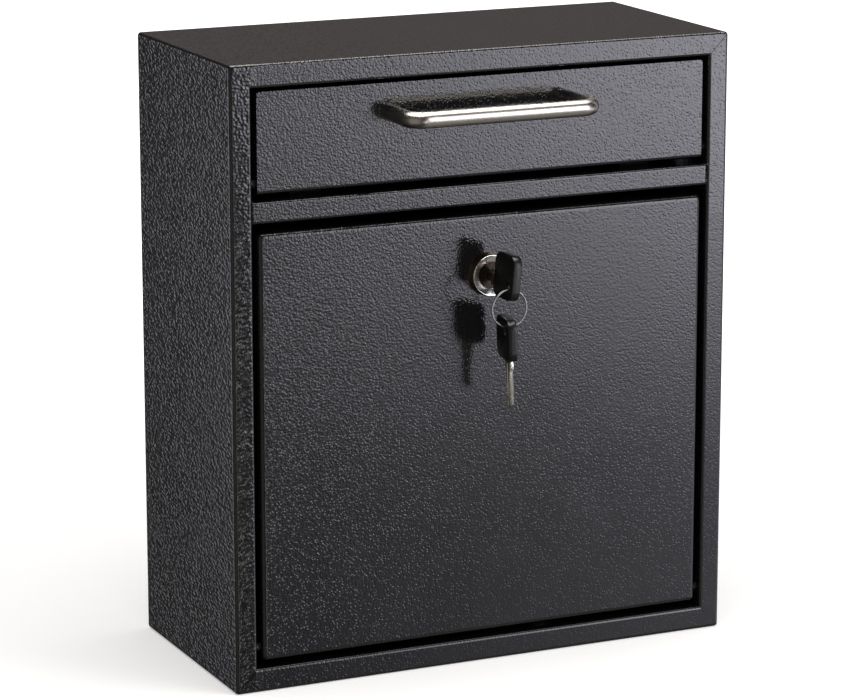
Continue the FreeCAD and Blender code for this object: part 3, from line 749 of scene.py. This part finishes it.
def hung_on_ring():
    """Carries a key from the lock's axis to where the spare one hangs."""
    ring_aside, ring_drop, ring_radius, ring_wire, lift = -1.0, 12.0, 9.05, 0.45, 0.15
    wire = LOCK_Z - ring_drop - ring_radius
    hole = wire + ring_wire + lift - HOLE_RADIUS
    axis = Vector((0, RING_Y, LOCK_Z)) * MM
    pin = Vector((ring_aside, RING_Y, wire)) * MM
    quarter = Matrix.Rotation(math.radians(-90), 4, "X")
    down = Matrix.Translation(axis) @ quarter @ Matrix.Translation(-axis)
    shift = Matrix.Translation(Vector((ring_aside, HOLE_BELOW, hole - LOCK_Z)) * MM)
    twist = Matrix.Rotation(math.radians(-2), 4, "Y") @ Matrix.Rotation(math.radians(-10), 4, "Z")
    sideways = Matrix.Translation((LOCK_X * MM, 0, 0))
    return sideways @ Matrix.Translation(pin) @ twist @ Matrix.Translation(-pin) @ shift @ down


def across_x(y, z, x):
    """Placer for prisms whose outline is (y, z) and whose height runs along x, in millimetres."""
    return Vector((x, y, z)) * MM


def key_grip(name, body, place, finish, node):
    """Moulded grip with rounded rims and a hole for the ring, slotted for the blade's tang."""
    low, high = (HEAD_FAR, LOCK_Z - HEAD_BELOW), (HEAD_NEAR, LOCK_Z + HEAD_ABOVE)
    outline = rounded_rectangle(low, high, HEAD_CORNER, 9)
    shape = prism(outline, -HEAD_HALF, HEAD_HALF, across_x)
    piece = piece_from(name, shape, body, "black_plastic", finish, node)
    hole = circle((RING_Y, LOCK_Z - HOLE_BELOW), HOLE_RADIUS, 36)
    inner, outer = TANG_END, HEAD_NEAR + 1.0
    bottom, top = LOCK_Z - BLADE_HALF, LOCK_Z + BLADE_HALF
    slot = [(inner, bottom), (outer, bottom), (outer, top), (inner, top)]
    cutters = [loose(prism(hole, -2 * HEAD_HALF, 2 * HEAD_HALF, across_x))]
    cutters.append(loose(prism(slot, -BLADE_THICK / 2, BLADE_THICK / 2, across_x)))
    carve(piece, cutters)
    bevel(piece, 0.9, 4, 50.0)
    apply_modifiers(piece)
    piece.data.transform(place)
    smooth(piece, 50.0)
    return piece


def key_profile():
    """Side outline of the blade as (y, z): tang, shoulder, notched edge and pointed tip."""
    corner, blunt, notch_half, apart = 0.5, 1.0, 0.4, 0.02
    top, bottom = LOCK_Z + BLADE_HALF, LOCK_Z - BLADE_HALF
    points = [(TANG_END, bottom), (HEAD_NEAR, bottom), (HEAD_NEAR, LOCK_Z - SHOULDER_HALF)]
    points += [(SHOULDER_END - corner, LOCK_Z - SHOULDER_HALF)]
    points += [(SHOULDER_END, LOCK_Z - SHOULDER_HALF + corner), (SHOULDER_END, bottom)]
    points += [(BLADE_TIP - 1.6, bottom), (BLADE_TIP, LOCK_Z - blunt), (BLADE_TIP, LOCK_Z + blunt)]
    points.append((BLADE_TIP - 1.2, top))
    for number, depth in enumerate(NOTCHES):
        centre = BLADE_TIP - FIRST_NOTCH - number * NOTCH_PITCH
        rim = notch_half + depth
        for offset, drop in ((rim, 0.0), (notch_half, depth), (-notch_half, depth), (-rim, 0.0)):
            y = min(centre + offset, points[-1][0] - apart)
            points.append((y, top - drop))
    points += [(SHOULDER_END, top), (SHOULDER_END, LOCK_Z + SHOULDER_HALF - corner)]
    points += [(SHOULDER_END - corner, LOCK_Z + SHOULDER_HALF), (HEAD_NEAR, LOCK_Z + SHOULDER_HALF)]
    points += [(HEAD_NEAR, top), (TANG_END, top)]
    return points


def key_metal(name, body, place, finish, node):
    """Stamped blade with a milled groove in each side."""
    shape = prism(key_profile(), -BLADE_THICK / 2, BLADE_THICK / 2, across_x)
    piece = piece_from(name, shape, body, "nickel_key", finish, node)
    floor, clear = 0.55, 1.5    # x of each groove's floor, and x outside the blade
    cutters = []
    for side, low, high in ((1, -1.5, 0.1), (-1, -0.6, 0.9)):
        groove = [(BLADE_TIP + 1, LOCK_Z + low), (BLADE_TIP + 1, LOCK_Z + high)]
        groove += [(SHOULDER_END - 3, LOCK_Z + high), (SHOULDER_END - 3.5, LOCK_Z + low)]
        near, far = sorted((side * floor, side * clear))
        cutters.append(loose(prism(groove, near, far, across_x)))
    carve(piece, cutters)
    bevel(piece, 0.1, 2, 40.0)
    apply_modifiers(piece)
    piece.data.transform(place)
    smooth(piece, 40.0)
    return piece


def rounded_cad(node, width_mm):
    """Softens the carried-over node's sharp edges with a bevel modifier."""
    bevel(frame["nodes"][node], width_mm, 2, 35.0)


# ---- Studio ----------------------------------------------------------------

CAMERA_AZIMUTH = -24.89         # degrees; 0 looks at the box's front
CAMERA_ELEVATION = 13.24
CAMERA_TARGET = (-27.6, 160.3)  # x and z in millimetres, in the plane of the frame's front
CAMERA_DISTANCE = 1.768         # m
LENS = 152.2                    # mm, on a 36 mm wide sensor


def add_camera():
    """Long lens from the left and a little above, as the box is pictured."""
    azimuth = math.radians(CAMERA_AZIMUTH)
    elevation = math.radians(CAMERA_ELEVATION)
    x, z = CAMERA_TARGET
    target = Vector((x * MM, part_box("outer_shell")[0][1], z * MM))
    back = Vector(
        (
            math.sin(azimuth) * math.cos(elevation),
            -math.cos(azimuth) * math.cos(elevation),
            math.sin(elevation),
        )
    )
    data = bpy.data.cameras.new("camera")
    data.sensor_width = 36.0
    data.lens = LENS
    data.clip_start = 0.05
    camera = bpy.data.objects.new("camera", data)
    camera.location = target + back * CAMERA_DISTANCE
    camera.rotation_euler = back.to_track_quat("Z", "Y").to_euler()
    bpy.context.scene.collection.objects.link(camera)
    bpy.context.scene.camera = camera


def area_light(name, place, target, size, power, colour):
    data = bpy.data.lights.new(name, "AREA")
    data.shape = "RECTANGLE"
    data.size, data.size_y = size
    data.energy = power
    data.color = colour
    light = bpy.data.objects.new(name, data)
    light.location = place
    direction = Vector(target) - Vector(place)
    light.rotation_euler = direction.to_track_quat("-Z", "Y").to_euler()
    light.visible_camera = False
    bpy.context.scene.collection.objects.link(light)
    return light


FLOOR_MARGIN = 8.0      # mm between an opened door's key and the floor
FLOOR_HALF = 12.0       # m
FADE = (0.25, 0.9)      # m from the middle, between which the floor turns white


def add_floor():
    """Pale floor that stays white to the camera away from the box's soft shadow."""
    shape = bmesh.new()
    corners = ((-1, -1), (1, -1), (1, 1), (-1, 1))
    shape.faces.new([shape.verts.new((x * FLOOR_HALF, y * FLOOR_HALF, 0.0)) for x, y in corners])
    floor = loose(shape, "floor")
    floor.visible_glossy = False
    look = Finish("pale_floor")
    grain = look.noise(3.0, 3.0)
    look.set(
        Base_Color=look.blend(grain, grey(0.84), grey(0.88)),
        Roughness=0.8,
        Specular_IOR_Level=0.0,
        Emission_Color=grey(1.0),
        Emission_Strength=look.remap(look.length(look.place), *FADE, 0.30, 1.0, "SMOOTHSTEP"),
    )
    floor.data.materials.append(look.material)
    keep_below(floor)
    return floor


def keep_below(floor):
    """At rest the box stands on the floor; an opened door and its key push the floor down."""
    lowest = bpy.data.objects.new("lowest_when_open", None)
    bpy.context.scene.collection.objects.link(lowest)
    lowest.parent = frame["bodies"]["key"]
    lowest.location = Vector((LOCK_X, HEAD_FAR - FLOOR_MARGIN, LOCK_Z + HEAD_ABOVE)) * MM
    follow = floor.constraints.new("COPY_LOCATION")
    follow.target = lowest
    follow.use_x = follow.use_y = False
    stop = floor.constraints.new("LIMIT_LOCATION")
    stop.use_max_z = True
    stop.max_z = 0.0


# The studio as it is mirrored: azimuth 0 is in front of the box and +90 on its right.
# Each card: azimuths, its edge's softness, elevations, softness, strength, colour.
CARDS = (
    ((18, 38), 4, (-11.3, 32), 4.5, 1.2, (0.91, 0.90, 1.0)),
    ((27, 38), 10, (-11.3, 32), 4.5, 6.4, (0.91, 0.90, 1.0)),
    ((18, 80), 4, (-25, -4), 6, 0.14, (0.88, 0.87, 1.0)),
    ((28, 80), 10, (-25, -4), 6, 1.0, (0.88, 0.87, 1.0)),
    ((15, 80), 5, (-75, -25), 6, 0.22, (1.0, 0.96, 0.90)),
    ((1, 9), 3, (-32, 4), 5, 2.2, (1.0, 0.98, 0.92)),
    ((-85, -25), 12, (-40, 30), 10, 0.22, (1.0, 0.93, 0.82)),
    ((-156, -112), 3, (-18, 10), 9, 1.4, (0.90, 0.89, 1.0)),
    ((100, 140), 8, (-24, 26), 8, 1.2, (1.0, 0.98, 0.96)),
)
OVERHEAD = Vector((0.05, 0.17, 0.98))  # direction of the middle of the card above the box
OVERHEAD_REACH = (38.0, 12.0)          # degrees from there at which it ends, and is full
OVERHEAD_STRENGTH = 8.0
ROOM = (0.05, 0.047, 0.045)            # the dark room between the cards


def back_wall(room):
    """A dim warm wall behind the box and to its right, brighter above; it shows in the top."""
    parts = room.parts()
    behind = room.remap(parts["Y"], 0.0, 0.5, 0.0, 0.15)
    behind = room.math("MULTIPLY", behind, room.remap(parts["X"], -0.2, 0.25, 0.0, 1.0))
    above = room.remap(parts["Z"], 0.02, 0.30, 0.15, 1.25)
    return room.scaled((1.0, 0.85, 0.85), room.math("MULTIPLY", behind, above))


def overhead_card(room):
    """A soft round card above the box."""
    towards = room.node("VectorMath")
    towards.operation = "DOT_PRODUCT"
    room.put(towards.inputs[0], room.place)
    towards.inputs[1].default_value = OVERHEAD.normalized()
    end, full = (math.cos(math.radians(angle)) for angle in OVERHEAD_REACH)
    cap = room.remap(towards.outputs["Value"], end, full, 0.0, OVERHEAD_STRENGTH, "SMOOTHSTEP")
    return room.scaled((1.0, 0.97, 0.93), cap)


def directions(room):
    """The azimuth and elevation of each direction, in degrees."""
    degree = math.pi / 180
    parts = room.parts()
    azimuth = room.math("ARCTAN2", parts["X"], room.math("MULTIPLY", parts["Y"], -1.0))
    elevation = room.math("ARCSINE", parts["Z"], 0.0)
    return room.math("DIVIDE", azimuth, degree), room.math("DIVIDE", elevation, degree)


def card_light(room, azimuth, elevation, card):
    """One card of CARDS, as a colour."""
    wide, side_soft, tall, end_soft, strength, colour = card
    edges = (
        (azimuth, wide[0], side_soft, 0.0, 1.0),
        (azimuth, wide[1], side_soft, 1.0, 0.0),
        (elevation, tall[0], end_soft, 0.0, 1.0),
        (elevation, tall[1], end_soft, 1.0, 0.0),
    )
    share = 1.0
    for angle, edge, soft, before, after in edges:
        side = room.remap(angle, edge - soft, edge + soft, before, after, "SMOOTHSTEP")
        share = room.math("MULTIPLY", share, side)
    return room.scaled(tuple(strength * part for part in colour), share)


def background(room, colour, strength=1.0):
    node = room.node("Background")
    room.put(node.inputs["Color"], colour)
    node.inputs["Strength"].default_value = strength
    return node.outputs["Background"]


def either(room, factor, first, second):
    """The second shader where factor is 1, and else the first."""
    node = room.node("MixShader")
    room.put(node.inputs["Fac"], factor)
    room.put(node.inputs[1], first)
    room.put(node.inputs[2], second)
    return node.outputs["Shader"]


def add_world():
    """White to the camera, an even pale room to matt surfaces, and the cards to glossy ones."""
    world = bpy.data.worlds.new("studio")
    bpy.context.scene.world = world
    world.use_nodes = True
    room = Nodes(world.node_tree, "Generated")
    azimuth, elevation = directions(room)
    light = room.vector_math("ADD", back_wall(room), ROOM)
    light = room.vector_math("ADD", light, overhead_card(room))
    for card in CARDS:
        light = room.vector_math("ADD", light, card_light(room, azimuth, elevation, card))
    path = room.node("LightPath")
    matt = background(room, (1.0, 0.98, 0.96, 1), 0.55)
    lit = either(room, path.outputs["Is Glossy Ray"], matt, background(room, light))
    shown = either(room, path.outputs["Is Camera Ray"], lit, background(room, (1, 1, 1, 1)))
    output = room.node("OutputWorld")
    room.put(output.inputs["Surface"], shown)


def add_lights():
    """Soft lamps for matt surfaces and the floor; the world's cards are what shows in the paint."""
    white, warm = (1.0, 1.0, 1.0), (1.0, 0.98, 0.95)
    right = area_light("right card", (1.2, -1.4, 0.9), (0.0, 0.0, 0.15), (1.0, 1.0), 12.0, white)
    above = area_light("overhead", (0.0, -0.3, 1.7), (0.0, 0.0, 0.1), (1.3, 1.0), 14.0, warm)
    for lamp in (right, above):
        lamp.visible_glossy = False


# ---- Build -----------------------------------------------------------------

CHROME, WORN_CHROME = (0.72, 0.70, 0.66, 1), (0.74, 0.56, 0.30, 1)
NICKEL, WORN_NICKEL = (0.80, 0.76, 0.70, 1), (0.74, 0.68, 0.58, 1)
SPRING_STEEL, DULL_STEEL = (0.42, 0.42, 0.42, 1), (0.36, 0.36, 0.36, 1)
# The plug's two colours are painted shade: near-black metal for the shadowed, dark-reflecting recess of
# the plug, in slightly lighter patches.
PLUG_PAINTED_SHADE, PLUG_SHADE_PATCHES = (0.030, 0.023, 0.020, 1), (0.06, 0.045, 0.035, 1)
ROUNDED = {
    "lock_nut": 0.4, "lock_cam": 0.15, "cam_washer": 0.12, "cam_screw": 0.2,
    "lock_plug": 0.2, "handle_screws": 0.2, "handle_washers": 0.12, "lock_washer": 0.12,
}

finishes = {
    "textured_paint": textured_paint(),
    "painted_weld": weld_paint(),
    "brushed_nickel": brushed_nickel(),
    "chrome_plate": plated("chrome_plate", CHROME, WORN_CHROME, 0.10, 0.002),
    "nickel_key": plated("nickel_key", NICKEL, WORN_NICKEL, 0.22, 0.0015),
    "ring_wire": plated("ring_wire", SPRING_STEEL, DULL_STEEL, 0.26, 0.001),
    "zinc_steel": zinc_steel(),
    "black_plastic": moulded_plastic("black_plastic", grey(0.0035), 0.34, 0.005),
    "black_nylon": moulded_plastic("black_nylon", grey(0.010), 0.5, 0.006),
    "black_oxide": moulded_plastic("black_oxide", grey(0.020), 0.36, 0.008),
    "rubber": rubber(),
}


def dress(node, finish):
    """Gives the CAD node one finish."""
    materials = frame["nodes"][node].data.materials
    materials.clear()
    materials.append(finish)


for subpart in frame["record"]["subparts"]:
    dress(subpart["node"], finishes[subpart["material_slot"]])
dress("outer_shell", frame_paint())
# The plug is dressed in painted shade: near-black metal in place of the finish of its slot.
dress("lock_plug", plated("painted_shade_on_plug", PLUG_PAINTED_SHADE, PLUG_SHADE_PATCHES, 0.22, 0.004))

bow_handle(finishes["brushed_nickel"])
split_ring(finishes["ring_wire"])
weld_beads(finishes["painted_weld"])
lock_barrel(lock_metal())
key_metal("key_notched_blade", "key", turned_with_plug(), finishes["nickel_key"], "key_blade")
key_grip("key_grip", "key", turned_with_plug(), finishes["black_plastic"], "key_head")
key_metal("spare_notched_blade", "spare_key", hung_on_ring(), finishes["nickel_key"], "spare_key_blade")
key_grip("spare_grip", "spare_key", hung_on_ring(), finishes["black_plastic"], "spare_key_head")
for node, width in ROUNDED.items():
    rounded_cad(node, width)

add_floor()
add_world()
add_lights()
add_camera()
bpy.context.scene.view_settings.view_transform = "Standard"
